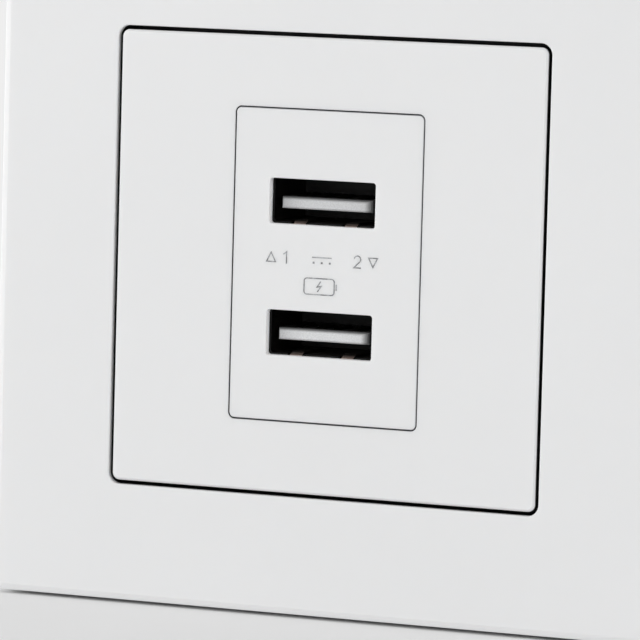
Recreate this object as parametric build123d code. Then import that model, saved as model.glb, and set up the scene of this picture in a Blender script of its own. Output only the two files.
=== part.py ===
"""Flush wall socket with two charging ports.

Millimetres. X points right and Z up as one faces the socket, and Y points into the wall.
The wall's surface is the plane Y = 0, and the origin is midway between the fixing screws.
"""

import os

from build123d import *

# Cover frame
FRAME_W = 81.8
FRAME_H = 79.8
FRAME_DEPTH = 9.0
FRAME_CORNER_R = 1.2
FRAME_BEVEL = 0.7
FRAME_BEVEL_DEPTH = 0.2
FRAME_WALL = 2.2
FRAME_FACE = 2.4
WINDOW_BREAK = 0.1
COLLAR_WALL = 1.6
LEDGE_DEPTH = 4.0
LEDGE_T = 1.6
LEDGE_REACH = 2.4
RIB_T = 1.2
RIB_OFFSET = 16.0
HEAD_NOTCH = 9.0

# Centre plate
PLATE_SIDE = 52.0
PLATE_T = 2.0
PLATE_R = 0.85
PLATE_GAP = 0.48
SKIRT_T = 1.6
EDGE_BREAK = 0.25
LEG_T = 1.6
LEG_W = 6.0
LEG_INSET = 3.2
LEG_Z = 15.0
LEG_HOOK = 0.8
LEG_TIP = 2.2
BARB_LAND = 0.2
CATCH_W = 9.0
CATCH_T = 1.4
CATCH_WINDOW_W = 6.0
CATCH_WINDOW_Y = 1.9
CATCH_END = 1.4

# Support yoke
YOKE_MARGIN = 2.2
YOKE_T = 1.2
YOKE_CORNER = 9.0
YOKE_OPEN_MARGIN = 3.0
YOKE_OPEN_R = 3.0
YOKE_FLANGE_H = 2.4
SLOT_EDGE = 5.5
SLOT_W = 4.0
SLOT_L = 7.0

# Charger case
NOSE_W = 23.0
NOSE_H = 35.6
NOSE_R = 0.65
NOSE_GAP = 0.12
FACE_T = 1.6
CASE_W = 26.0
CASE_H = 38.6
CASE_R = 1.2
CASE_WALL = 1.6
POST = 2.6
ARM_W = 4.6
ARM_T = 1.0
ARM_Z = 10.0
ARM_REACH = 4.2
ARM_ROOT = 2.6
HOOK = 0.9
HOOK_L = 1.8

# Charging ports
PORT_PITCH = 15.0
PORT_DX = -0.65
PORT_DZ = -0.2
PORT_W = 13.0
PORT_H = 5.2
PORT_R = 0.35
LIP_T = 1.0
SHELL_IN_W = 12.5
SHELL_IN_H = 5.12
SHELL_IN_R = 0.3
SHELL_T = 0.3
SHELL_L = 13.0
SHELL_RISE = 0.15
SHELL_LEG_W = 1.4
SPRING_W = 1.5
SPRING_PITCH = 6.3
SPRING_RISE = 0.3
SPRING_TIP = 0.1
SPRING_CREST = 1.0
SLIT = 0.25
TONGUE_W = 11.1
TONGUE_T = 1.35
TONGUE_TOP = 0.3
TONGUE_RECESS = 0.5
INSULATOR_BACK = 4.1
CONTACT_W = 1.0
CONTACT_T = 0.3
CONTACT_OFFSETS = (-3.5, -1.0, 1.0, 3.5)
CONTACT_RECESS = 1.2
CONTACT_RISE = 0.35
TAIL = 1.0

# Circuit boards
BOARD_T = 1.6
BOARD_GAP = 13.4
BOARD_CLEAR = 0.2
PIN = 0.64
PIN_PITCH = 2.54
PIN_COUNT = 3
PIN_INSET = 1.8
SPACER = 2.5
STANDOFF = 2.2
STANDOFF_SIDE = 5.0
STANDOFF_INSET = 1.8

# Mains terminals
TERM_PITCH = 11.2
BLOCK_WALL = 1.8
BUSBAR_W = 4.2
BUSBAR_T = 1.0
BUSBAR_PAD = 2.4
WIRE_GAP = 2.6
WIRE_HOLE_R = 1.7
CAGE_W = 6.4
CAGE_H = 5.0
CAGE_SIDE = 0.9
CAGE_JAW = 1.2
CAGE_NUT = 1.6
CAGE_R = 0.7
CAGE_PLAY = 0.25
CAGE_TRAVEL = 2.4
WEB_T = 1.0
SCREW_R = 1.5
HEAD_R = 2.7
HEAD_H = 1.8
HEAD_SINK = 0.2
DRIVE_W = 0.8
DRIVE_DEPTH = 0.9
RAIL = 0.8
RAIL_L = 2.0

# Power components
PART_MARGIN = 0.8
PART_ROOM = 1.4
CAN_R = 3.15
CAN_GROOVE = 0.3
CAN_CRIMP = 1.2
OUTPUT_CAN_DROP = 2.0
CORE_T = 4.8
CORE_LEG = 2.4
CORE_YOKE = 1.2
COIL_W = 7.0
COIL_R = 1.6
BOBBIN_T = 0.45
BOBBIN_FOOT = 0.8
LEAD = 0.6
DISC_R = 2.6
DISC_T = 2.4
DISC_LIFT = 1.2
FUSE_R = 1.1
FUSE_L = 5.6
CHOKE_R = 2.5
CHOKE_WAIST = 2.1
CHOKE_L = 6.4
CHOKE_CHEEK = 1.0
CHIP_LEG_W = 0.5
CHIP_LEG_T = 0.25
CHIP_FOOT = 0.9
BRIDGE = {"w": 3.9, "h": 4.6, "t": 2.2, "x": -4.6, "rows": 2}
CONTROLLER = {"w": 3.9, "h": 4.9, "t": 1.5, "x": 3.4, "rows": 4}
OPTO = {"w": 4.4, "h": 3.6, "t": 2.0, "x": 0.0, "rows": 2}
DIODE = {"w": 3.6, "h": 4.4, "t": 2.2, "x": 5.4, "rows": 1}
CHIP_RISE = 7.8
OPTO_DROP = 11.0
DIODE_DROP = 6.5

# Clearances, and the depth by which features are rooted in the wall that carries them
SEAT = 0.05
FIT = 0.1
LOOSE = 0.3
RUN = 0.4
SOLDER_GAP = 0.2
ROOT = 0.1

# Planes and lines that the sizes set
FRONT = -FRAME_DEPTH
WINDOW = PLATE_SIDE + 2 * PLATE_GAP
WINDOW_R = PLATE_R + PLATE_GAP
COLLAR_OUT = WINDOW + 2 * COLLAR_WALL
LEDGE_IN = WINDOW - 2 * LEDGE_REACH
LEDGE_FRONT = FRONT + LEDGE_DEPTH
LEDGE_BACK = LEDGE_FRONT + LEDGE_T
PLATE_BACK = FRONT + PLATE_T
YOKE_FRONT = -YOKE_T
HOLLOW_W = FRAME_W - 2 * FRAME_WALL
HOLLOW_H = FRAME_H - 2 * FRAME_WALL
YOKE_SIDE = min(HOLLOW_W, HOLLOW_H) - 2 * YOKE_MARGIN
SCREW_SPACING = YOKE_SIDE - 2 * SLOT_EDGE
RIB_BACK = YOKE_FRONT - YOKE_FLANGE_H - 2 * LOOSE
LEG_X = PLATE_SIDE / 2 - LEG_INSET - LEG_T / 2
FACE_BACK = FRONT + FACE_T
SHOULDER_BACK = PLATE_BACK + CASE_WALL
CAVITY_W = CASE_W - 2 * CASE_WALL
CAVITY_H = CASE_H - 2 * CASE_WALL
SHELL_FRONT = FRONT + LIP_T
SHELL_BACK = SHELL_FRONT + SHELL_L
SHELL_W = SHELL_IN_W + 2 * SHELL_T
SHELL_H = SHELL_IN_H + 2 * SHELL_T
PORT_Z = {"upper": PORT_DZ + PORT_PITCH / 2, "lower": PORT_DZ - PORT_PITCH / 2}
TONGUE_TIP = SHELL_FRONT + TONGUE_RECESS
BLOCK_FACE = SHELL_BACK - INSULATOR_BACK
SPRING_ROOT = BLOCK_FACE - LOOSE
PORT_BOARD = SHELL_BACK
SPLIT = PORT_BOARD + BOARD_T
POWER_BOARD = SPLIT + BOARD_GAP
POWER_BACK = POWER_BOARD + BOARD_T
BUSBAR_FRONT = POWER_BOARD - BUSBAR_T
JAW = BUSBAR_FRONT - WIRE_GAP
CAGE_FRONT = JAW - CAGE_JAW
NUT_FRONT = POWER_BOARD + RUN
CAGE_BACK = NUT_FRONT + CAGE_NUT
WEB_FRONT = CAGE_BACK + CAGE_TRAVEL + FIT
WEB_BACK = WEB_FRONT + WEB_T
REAR = WEB_BACK + HEAD_H + HEAD_SINK
REAR_IN = REAR - CASE_WALL
BLOCK_FRONT = CAGE_FRONT - RUN
BLOCK_W = CAVITY_W - 2 * BOARD_CLEAR
POCKET_W = CAGE_W + 2 * CAGE_PLAY
POCKET_H = CAGE_H + 2 * CAGE_PLAY
BLOCK_BOTTOM = -CASE_H / 2
BLOCK_TOP = BLOCK_BOTTOM + 2 * BLOCK_WALL + POCKET_H
TERM_Z = BLOCK_BOTTOM + BLOCK_WALL + POCKET_H / 2
TERM_X = {"line": -TERM_PITCH / 2, "neutral": TERM_PITCH / 2}
BOARD_W = CAVITY_W - 2 * BOARD_CLEAR
PORT_BOARD_H = CAVITY_H - 2 * BOARD_CLEAR
POWER_TOP = CAVITY_H / 2 - BOARD_CLEAR
POWER_BOTTOM = BLOCK_TOP + 2 * BOARD_CLEAR
STANDOFF_X = BOARD_W / 2 - STANDOFF_SIDE
STANDOFF_Z = (POWER_BOTTOM + STANDOFF_INSET, POWER_TOP - STANDOFF_INSET)
PART_H = BOARD_GAP - TAIL - PART_ROOM
COIL_H = PART_H - BOBBIN_FOOT - 2 * BOBBIN_T
FUSE_REACH = FUSE_L / 2 + 2 * LEAD
FUSE_X = -BOARD_W / 2 + PART_MARGIN + FUSE_REACH
FUSE_Z = POWER_BOTTOM + BUSBAR_PAD + RUN + FUSE_R
CHOKE_X = FUSE_X + FUSE_REACH + LOOSE + CHOKE_R
CHOKE_Z = POWER_BOTTOM + BUSBAR_PAD + RUN + CHOKE_R
DISC_X = CHOKE_X + CHOKE_R + LOOSE + DISC_R
CAN_PITCH = 2 * CAN_R + LOOSE
INPUT_CAN_X = -BOARD_W / 2 + PART_MARGIN + CAN_R
INPUT_CAN_Z = CHOKE_Z + CHOKE_R + PART_MARGIN + CAN_R
OUTPUT_CAN_X = BOARD_W / 2 - PART_MARGIN - CAN_R
OUTPUT_CAN_Z = POWER_TOP - PART_MARGIN - CAN_R
CORE_W = COIL_W + 2 * FIT + 2 * CORE_YOKE
CORE_L = POWER_TOP - INPUT_CAN_Z - CAN_R - 2 * PART_MARGIN
CORE_X = -BOARD_W / 2 + PART_MARGIN + CORE_W / 2
CORE_Y = POWER_BOARD - BOBBIN_FOOT - BOBBIN_T - COIL_H / 2
CORE_Z = POWER_TOP - PART_MARGIN - CORE_L / 2
PIN_X = BOARD_W / 2 - PIN_INSET
PIN_Z = OUTPUT_CAN_Z - CAN_PITCH - CAN_R - LOOSE - PIN_COUNT * PIN_PITCH / 2
PIN_ROW = [PIN_Z + (i - (PIN_COUNT - 1) / 2) * PIN_PITCH for i in range(PIN_COUNT)]


def slab(sketch, y0, y1):
    """A front-view outline (X right, Z up) given depth from y0 to y1."""
    return extrude(Plane.XZ.offset(-y1) * sketch, amount=y1 - y0)


def block(w, h, y0, y1, x=0.0, z=0.0, r=0.0):
    """A plain or round-cornered block, w wide and h high about (x, z)."""
    outline = RectangleRounded(w, h, r) if r else Rectangle(w, h)
    return slab(Pos(x, z) * outline, y0, y1)


def span(x0, x1, z0, z1, y0, y1):
    """A block between two pairs of coordinates."""
    return block(x1 - x0, z1 - z0, y0, y1, (x0 + x1) / 2, (z0 + z1) / 2)


def rod(r, y0, y1, x=0.0, z=0.0):
    """A round bar along Y."""
    return slab(Pos(x, z) * Circle(r), y0, y1)


def side_profile(points, width):
    """A closed outline in Y and Z, given width along X about X = 0."""
    return extrude(Plane.YZ * make_face(Polyline(*points, close=True)), width / 2, both=True)


def top_profile(points, height):
    """A closed outline in X and Y, given height along Z about Z = 0."""
    return extrude(make_face(Polyline(*points, close=True)), height / 2, both=True)


def quarter_turns(solid):
    """Four copies of a solid, a quarter turn apart about the Y axis."""
    return [Rot(0, 90 * i, 0) * solid for i in range(4)]


def mirrored_x(solid):
    """A solid and its mirror image across X = 0."""
    return [solid, mirror(solid, Plane.YZ)]


def mirrored_z(solid):
    """A solid and its mirror image across Z = 0."""
    return [solid, mirror(solid, Plane.XY)]


def four_ways(solid):
    """A solid mirrored across X = 0 and Z = 0."""
    return [copy for half in mirrored_x(solid) for copy in mirrored_z(half)]


def front_face(solid):
    """The flat face furthest to the front."""
    return solid.faces().sort_by(Axis.Y)[0]


def cover_frame():
    """Hollow moulding with a bevelled rim, a square window, a collar and a ledge round it."""
    body = block(FRAME_W, FRAME_H, FRONT, 0, r=FRAME_CORNER_R)
    face = front_face(body)
    body = chamfer(face.edges(), FRAME_BEVEL, FRAME_BEVEL_DEPTH, reference=face)
    body -= block(HOLLOW_W, HOLLOW_H, FRONT + FRAME_FACE, 0)
    body += block(COLLAR_OUT, COLLAR_OUT, FRONT + FRAME_FACE, YOKE_FRONT)
    body -= block(WINDOW, WINDOW, FRONT, LEDGE_FRONT, r=WINDOW_R)
    body -= block(LEDGE_IN, LEDGE_IN, LEDGE_FRONT, YOKE_FRONT)
    body -= block(WINDOW, WINDOW, LEDGE_BACK, YOKE_FRONT)
    for copy in frame_ribs():
        body += copy
    notch = span(LEDGE_IN / 2, COLLAR_OUT / 2 + ROOT, -HEAD_NOTCH / 2, HEAD_NOTCH / 2,
                 LEDGE_BACK, YOKE_FRONT)
    for copy in quarter_turns(notch):
        body -= copy
    return chamfer(front_face(body).inner_wires()[0].edges(), WINDOW_BREAK)


def frame_ribs():
    """Stiffening ribs from the collar to the frame's walls, two on each side."""
    y0 = FRONT + FRAME_FACE - ROOT
    collar = COLLAR_OUT / 2 - ROOT
    far = RIB_OFFSET + RIB_T
    level = span(collar, HOLLOW_W / 2 + ROOT, RIB_OFFSET, far, y0, RIB_BACK)
    upright = span(RIB_OFFSET, far, collar, HOLLOW_H / 2 + ROOT, y0, RIB_BACK)
    return four_ways(level) + four_ways(upright)


def snap_leg():
    """Leg with a barb that passes through the yoke and hooks behind it."""
    outer = LEG_X + LEG_T / 2
    inner = LEG_X - LEG_T / 2
    outline = [
        (inner, PLATE_BACK - ROOT),
        (outer, PLATE_BACK - ROOT),
        (outer, FIT),
        (outer + LEG_HOOK, FIT),
        (outer + LEG_HOOK, FIT + BARB_LAND),
        (outer - LEG_T / 2, LEG_TIP),
        (inner, LEG_TIP),
    ]
    return Pos(0, 0, LEG_Z) * top_profile(outline, LEG_W)


def case_catch():
    """Springy flap with a window that snaps over the ridge on the charger case."""
    z0 = CASE_H / 2 + FIT
    flap = span(-CATCH_W / 2, CATCH_W / 2, z0, z0 + CATCH_T, PLATE_BACK - ROOT, YOKE_FRONT - RUN)
    y1 = YOKE_FRONT - CATCH_END
    window = span(-CATCH_WINDOW_W / 2, CATCH_WINDOW_W / 2, z0, z0 + CATCH_T, y1 - CATCH_WINDOW_Y, y1)
    return flap - window


def centre_plate():
    """Square plate with a skirt, an aperture for the charger, snap legs and catches."""
    plate = block(PLATE_SIDE, PLATE_SIDE, FRONT, LEDGE_FRONT, r=PLATE_R)
    inside = PLATE_SIDE - 2 * SKIRT_T
    plate -= block(inside, inside, PLATE_BACK, LEDGE_FRONT)
    plate = chamfer(front_face(plate).edges(), EDGE_BREAK)
    rib = span(CASE_W / 2 + RUN, inside / 2 + ROOT, -RIB_T / 2, RIB_T / 2,
               PLATE_BACK - ROOT, LEDGE_FRONT - LOOSE)
    for z in (-CASE_H / 5, CASE_H / 5):
        for copy in mirrored_x(rib):
            plate += Pos(0, 0, z) * copy
    plate -= block(NOSE_W + 2 * NOSE_GAP, NOSE_H + 2 * NOSE_GAP, FRONT, PLATE_BACK, r=NOSE_R + NOSE_GAP)
    for copy in four_ways(snap_leg()) + mirrored_z(case_catch()):
        plate += copy
    return plate


def support_yoke():
    """Stamped steel plate with folded edges, screw slots and windows for the snap legs."""
    outline = chamfer(Rectangle(YOKE_SIDE, YOKE_SIDE).vertices(), YOKE_CORNER)
    yoke = slab(outline, YOKE_FRONT, 0)
    edge = YOKE_SIDE / 2
    length = YOKE_SIDE - 2 * YOKE_CORNER
    flange = span(-length / 2, length / 2, edge - YOKE_T, edge, YOKE_FRONT - YOKE_FLANGE_H, 0)
    for copy in mirrored_z(flange):
        yoke += copy
    along = yoke.edges().filter_by(Axis.X)
    outside = along.filter_by(lambda e: e.center().Y > -SEAT and abs(e.center().Z) > edge - SEAT)
    yoke = fillet(outside, YOKE_T * 0.8)
    slot = slab(Pos(SCREW_SPACING / 2, 0) * SlotOverall(SLOT_L, SLOT_W), YOKE_FRONT, 0)
    outer = LEG_X + LEG_T / 2
    window = span(outer - LEG_T - LEG_HOOK, outer + 2 * FIT, LEG_Z - LEG_W / 2 - LOOSE,
                  LEG_Z + LEG_W / 2 + LOOSE, YOKE_FRONT, 0)
    for copy in quarter_turns(slot) + four_ways(window):
        yoke -= copy
    return yoke - block(CASE_W + 2 * YOKE_OPEN_MARGIN, CASE_H + 2 * YOKE_OPEN_MARGIN, YOKE_FRONT, 0,
                        r=YOKE_OPEN_R)


def port_centres():
    """Centre of each port's opening as (x, z)."""
    return [(PORT_DX, z) for z in PORT_Z.values()]


def case_front():
    """Front half of the charger case: the face with two ports, a shoulder and a box behind it."""
    case = block(CASE_W, CASE_H, PLATE_BACK, SPLIT, r=CASE_R)
    nose = block(NOSE_W, NOSE_H, FRONT, PLATE_BACK + ROOT, r=NOSE_R)
    case += chamfer(front_face(nose).edges(), EDGE_BREAK / 2)
    case -= block(CAVITY_W, CAVITY_H, SHOULDER_BACK, SPLIT)
    case -= block(NOSE_W - 2 * CASE_WALL, NOSE_H - 2 * CASE_WALL, FACE_BACK, SHOULDER_BACK)
    for x, z in port_centres():
        case -= block(PORT_W, PORT_H, FRONT, FACE_BACK, x, z, PORT_R)
        case -= block(SHELL_W + 2 * FIT, SHELL_H + 2 * FIT, SHELL_FRONT, FACE_BACK, x, z + SHELL_RISE)
    post = span(CAVITY_W / 2 - POST, CAVITY_W / 2 + ROOT, CAVITY_H / 2 - POST, CAVITY_H / 2 + ROOT,
                SHOULDER_BACK - ROOT, PORT_BOARD)
    window = span(CAVITY_W / 2 - ROOT, CASE_W / 2, ARM_Z - ARM_W / 2 - LOOSE,
                  ARM_Z + ARM_W / 2 + LOOSE, SPLIT - ARM_REACH, SPLIT - ARM_REACH + HOOK_L + LOOSE)
    for copy in four_ways(post):
        case += copy
    for copy in four_ways(window):
        case -= copy
    for copy in mirrored_z(catch_ridge()):
        case += copy
    return case


def catch_ridge():
    """Ramped ridge on the charger case that the centre plate's catch snaps over."""
    wall = CASE_H / 2
    y1 = YOKE_FRONT - CATCH_END - FIT
    y0 = y1 - CATCH_WINDOW_Y + 2 * FIT
    outline = [(y0, wall - ROOT), (y1, wall - ROOT), (y1, wall + CATCH_T / 2), (y0, wall + BARB_LAND)]
    return side_profile(outline, CATCH_WINDOW_W - 2 * LOOSE)


def snap_arm():
    """Arm of the rear case that reaches into the front case and hooks in its side window."""
    wall = CAVITY_W / 2
    tip = SPLIT - ARM_REACH
    outline = [
        (wall - FIT - ARM_T, SPLIT + ARM_ROOT),
        (wall - FIT - ARM_T, tip + FIT),
        (wall - FIT, tip + FIT),
        (wall - FIT + HOOK, tip + HOOK_L - BARB_LAND),
        (wall - FIT + HOOK, tip + HOOK_L),
        (wall - FIT, tip + HOOK_L),
        (wall - FIT, SPLIT),
        (wall + ROOT, SPLIT),
        (wall + ROOT, SPLIT + ARM_ROOT),
    ]
    return Pos(0, 0, ARM_Z) * top_profile(outline, ARM_W)


def case_rear():
    """Rear half of the charger case, with snap arms and a corner left open for the terminals."""
    case = block(CASE_W, CASE_H, SPLIT, REAR, r=CASE_R)
    case = chamfer(case.faces().sort_by(Axis.Y)[-1].edges(), CASE_R / 2)
    case -= block(CAVITY_W, CAVITY_H, SPLIT, REAR_IN)
    half = BLOCK_W / 2 + BOARD_CLEAR / 2
    case -= span(-half, half, BLOCK_BOTTOM, BLOCK_TOP + FIT, BLOCK_FRONT - FIT, REAR)
    groove = BLOCK_W / 2 + RAIL + FIT
    case -= span(-groove, groove, BLOCK_BOTTOM, BLOCK_TOP - RAIL + FIT, WEB_FRONT - RAIL_L - FIT,
                 WEB_FRONT + FIT)
    for x in (-STANDOFF_X, STANDOFF_X):
        for z in STANDOFF_Z:
            case += block(STANDOFF, STANDOFF, POWER_BACK, REAR_IN + ROOT, x, z)
    post = span(CAVITY_W / 2 - POST / 2, CAVITY_W / 2 + ROOT, CAVITY_H / 2 - POST / 2, CAVITY_H / 2 + ROOT,
                SPLIT, SPLIT + ARM_ROOT)
    for copy in four_ways(post) + four_ways(snap_arm()):
        case += copy
    return case


def spring_tab():
    """Leaf spring of a port shell, rooted in the lower wall, with a crest and a thinned tip in front."""
    root = SPRING_ROOT
    crest = SHELL_FRONT + SPRING_CREST
    tip = SHELL_FRONT + SPRING_TIP
    top = -SHELL_IN_H / 2
    outline = [
        (root + SHELL_T, top),
        (crest, top + SPRING_RISE),
        (tip, top - SHELL_T / 2),
        (tip, top - SHELL_T),
        (crest, top + SPRING_RISE - SHELL_T),
        (root, top - SHELL_T),
        (root + SHELL_T, top - SHELL_T),
    ]
    return side_profile(outline, SPRING_W)


def port_shell(z):
    """Folded steel tube with two leaf springs above and below, and four solder legs."""
    shell = block(SHELL_W, SHELL_H, SHELL_FRONT, SHELL_BACK, r=SHELL_IN_R + SHELL_T)
    shell -= block(SHELL_IN_W, SHELL_IN_H, SHELL_FRONT, SHELL_BACK, r=SHELL_IN_R)
    wall = SHELL_IN_H / 2
    slit = span(-SPRING_W / 2 - SLIT, SPRING_W / 2 + SLIT, -wall - SHELL_T, -wall + ROOT,
                SHELL_FRONT + SPRING_TIP - SLIT, SPRING_ROOT)
    leg = span(SHELL_IN_W / 2, SHELL_W / 2, -SHELL_LEG_W / 2, SHELL_LEG_W / 2,
               SHELL_BACK - ROOT, SPLIT + TAIL)
    for x in (-SPRING_PITCH / 2, SPRING_PITCH / 2):
        for cut, tab in zip(mirrored_z(slit), mirrored_z(spring_tab())):
            shell = shell - Pos(x, 0, 0) * cut + Pos(x, 0, 0) * tab
    for copy in mirrored_x(leg):
        shell += copy
    return Pos(PORT_DX, 0, z + SHELL_RISE) * shell


def port_contact(x):
    """One leaf contact that lies in the tongue, bows up near its tip and ends in a solder tail."""
    tip = TONGUE_TIP + CONTACT_RECESS
    low = TONGUE_TOP - CONTACT_T
    bow = (BLOCK_FACE - tip) / 3
    outline = [
        (tip, low),
        (SPLIT + TAIL, low),
        (SPLIT + TAIL, TONGUE_TOP),
        (tip + 2 * bow, TONGUE_TOP),
        (tip + bow, TONGUE_TOP + CONTACT_RISE),
        (tip, TONGUE_TOP),
    ]
    return Pos(x, 0, 0) * side_profile(outline, CONTACT_W)


def port_contacts(z):
    """The four contacts of one port."""
    row = Compound(children=[port_contact(x) for x in CONTACT_OFFSETS])
    return Pos(PORT_DX, 0, z + SHELL_RISE) * row


def port_insulator(z):
    """Rear block and tongue, with a channel for each contact."""
    tongue = span(-TONGUE_W / 2, TONGUE_W / 2, TONGUE_TOP - TONGUE_T, TONGUE_TOP,
                  TONGUE_TIP, BLOCK_FACE + ROOT)
    tongue = chamfer(front_face(tongue).edges(), TONGUE_T / 8)
    body = block(SHELL_IN_W - 2 * SEAT, SHELL_IN_H - 2 * SEAT, BLOCK_FACE, SHELL_BACK, r=SHELL_IN_R)
    body += tongue
    for x in CONTACT_OFFSETS:
        body -= span(x - CONTACT_W / 2, x + CONTACT_W / 2, TONGUE_TOP - CONTACT_T, TONGUE_TOP,
                     TONGUE_TIP + CONTACT_RECESS, SHELL_BACK)
    return Pos(PORT_DX, 0, z + SHELL_RISE) * body


def port_board():
    """Board behind both ports, notched for the snap arms."""
    board = block(BOARD_W, PORT_BOARD_H, PORT_BOARD, SPLIT)
    notch = span(CAVITY_W / 2 - FIT - ARM_T - BOARD_CLEAR, CAVITY_W / 2, ARM_Z - ARM_W / 2 - BOARD_CLEAR,
                 ARM_Z + ARM_W / 2 + BOARD_CLEAR, PORT_BOARD, SPLIT)
    for copy in four_ways(notch):
        board -= copy
    for x, z in port_centres():
        row = z + SHELL_RISE
        for offset in CONTACT_OFFSETS:
            board -= block(CONTACT_W + 2 * SOLDER_GAP, CONTACT_T + 2 * SOLDER_GAP, PORT_BOARD, SPLIT,
                           x + offset, row + TONGUE_TOP - CONTACT_T / 2)
        for side in (-1, 1):
            board -= block(SHELL_T + 2 * SOLDER_GAP, SHELL_LEG_W + 2 * SOLDER_GAP, PORT_BOARD, SPLIT,
                           x + side * (SHELL_IN_W + SHELL_T) / 2, row)
    hole = PIN + 2 * SOLDER_GAP
    for z in PIN_ROW:
        board -= block(hole, hole, PORT_BOARD, SPLIT, PIN_X, z)
    return board


def power_board():
    """Board of the mains converter, above the terminal block."""
    height = POWER_TOP - POWER_BOTTOM
    board = block(BOARD_W, height, POWER_BOARD, POWER_BACK, 0, (POWER_TOP + POWER_BOTTOM) / 2)
    hole = PIN + 2 * SOLDER_GAP
    for z in PIN_ROW:
        board -= block(hole, hole, POWER_BOARD, POWER_BACK, PIN_X, z)
    return board


def header_spacer():
    """Moulded strip that holds the header pins on the port board."""
    strip = block(SPACER, PIN_COUNT * PIN_PITCH, SPLIT, SPLIT + SPACER, PIN_X, PIN_Z)
    for z in PIN_ROW:
        strip -= block(PIN, PIN, SPLIT, SPLIT + SPACER, PIN_X, z)
    return strip


def header_pins():
    """Square pins that join the two boards."""
    pins = [block(PIN, PIN, PORT_BOARD - TAIL, POWER_BACK + TAIL / 2, PIN_X, z) for z in PIN_ROW]
    return Compound(children=pins)


def turned(outline, x, z):
    """A turned form standing on the power board, from its outline in radius and height."""
    points = [(radius, -height) for radius, height in outline]
    solid = revolve(make_face(Polyline(*points, close=True)), Axis.Y)
    return Pos(x, POWER_BOARD, z) * solid


def can(x, z, length):
    """Can of an electrolytic capacitor, with its crimped groove."""
    groove = CAN_CRIMP + CAN_GROOVE
    outline = [
        (0, 0),
        (CAN_R, 0),
        (CAN_R, CAN_CRIMP),
        (CAN_R - CAN_GROOVE, groove),
        (CAN_R, groove + CAN_GROOVE),
        (CAN_R, length),
        (0, length),
    ]
    return turned(outline, x, z)


def input_capacitors():
    """Two high-voltage capacitors beside the terminals."""
    return Compound(children=[can(INPUT_CAN_X + i * CAN_PITCH, INPUT_CAN_Z, PART_H) for i in range(2)])


def output_capacitors():
    """Two low-voltage capacitors beside the transformer."""
    length = PART_H - OUTPUT_CAN_DROP
    return Compound(children=[can(OUTPUT_CAN_X, OUTPUT_CAN_Z - i * CAN_PITCH, length) for i in range(2)])


def transformer_core():
    """Ferrite frame with a middle leg through the winding."""
    core = block(CORE_W, CORE_L, -CORE_T / 2, CORE_T / 2)
    width = (COIL_W - CORE_LEG) / 2 + FIT
    offset = (CORE_LEG + width) / 2
    for x in (-offset, offset):
        core -= block(width, CORE_L - 2 * CORE_YOKE, -CORE_T / 2, CORE_T / 2, x, 0)
    return Pos(CORE_X, CORE_Y, CORE_Z) * core


def coil_tube(w, t, inner_w, inner_t, length, r=0.0):
    """A rectangular tube along Z, w by t outside."""
    outline = RectangleRounded(w, t, r) if r else Rectangle(w, t)
    return extrude(outline - Rectangle(inner_w, inner_t), length / 2, both=True)


def transformer_bobbin():
    """Tube on the middle leg, with end flanges and feet on the board."""
    inner_w = CORE_LEG + 2 * SEAT
    inner_t = CORE_T + 2 * SEAT
    length = CORE_L - 2 * CORE_YOKE - 2 * FIT
    tube = coil_tube(inner_w + 2 * BOBBIN_T, inner_t + 2 * BOBBIN_T, inner_w, inner_t, length)
    flange = coil_tube(COIL_W, COIL_H + 2 * BOBBIN_T, inner_w, inner_t, BOBBIN_T)
    foot = span(-COIL_W / 2, COIL_W / 2, -length / 2, -length / 2 + 3 * BOBBIN_T,
                COIL_H / 2 + BOBBIN_T - ROOT, COIL_H / 2 + BOBBIN_T + BOBBIN_FOOT)
    for copy in mirrored_z(Pos(0, 0, (length - BOBBIN_T) / 2) * flange) + mirrored_z(foot):
        tube += copy
    return Pos(CORE_X, CORE_Y, CORE_Z) * tube


def transformer_winding():
    """Taped winding between the bobbin's flanges."""
    inner_w = CORE_LEG + 2 * SEAT + 2 * BOBBIN_T
    inner_t = CORE_T + 2 * SEAT + 2 * BOBBIN_T
    length = CORE_L - 2 * CORE_YOKE - 2 * FIT - 2 * BOBBIN_T
    return Pos(CORE_X, CORE_Y, CORE_Z) * coil_tube(COIL_W, COIL_H, inner_w, inner_t, length, COIL_R)


def safety_capacitor():
    """Dipped disc capacitor on two leads."""
    y = POWER_BOARD - DISC_R - DISC_LIFT
    disc = Pos(DISC_X, y, CHOKE_Z) * Cylinder(DISC_R, DISC_T)
    disc = chamfer(disc.edges().filter_by(GeomType.CIRCLE), DISC_T / 4)
    for side in (-1, 1):
        disc += block(LEAD, LEAD, y, POWER_BOARD, DISC_X + side * DISC_R / 2, CHOKE_Z)
    return disc


def fuse_resistor():
    """Axial resistor that acts as the fuse, on bent leads."""
    y = POWER_BOARD - FUSE_R - LOOSE
    body = Pos(FUSE_X, y, FUSE_Z) * Rot(0, 90, 0) * Cylinder(FUSE_R, FUSE_L)
    body = chamfer(body.edges().filter_by(GeomType.CIRCLE), FUSE_R / 3)
    body += span(FUSE_X - FUSE_REACH, FUSE_X + FUSE_REACH, FUSE_Z - LEAD / 2, FUSE_Z + LEAD / 2,
                 y - LEAD / 2, y + LEAD / 2)
    for side in (-1, 1):
        body += block(LEAD, LEAD, y, POWER_BOARD, FUSE_X + side * (FUSE_REACH - LEAD / 2), FUSE_Z)
    return body


def filter_choke():
    """Drum core choke standing on the power board."""
    outline = [
        (0, 0),
        (CHOKE_R, 0),
        (CHOKE_R, CHOKE_CHEEK),
        (CHOKE_WAIST, CHOKE_CHEEK),
        (CHOKE_WAIST, CHOKE_L - CHOKE_CHEEK),
        (CHOKE_R, CHOKE_L - CHOKE_CHEEK),
        (CHOKE_R, CHOKE_L),
        (0, CHOKE_L),
    ]
    return turned(outline, CHOKE_X, CHOKE_Z)


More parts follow.
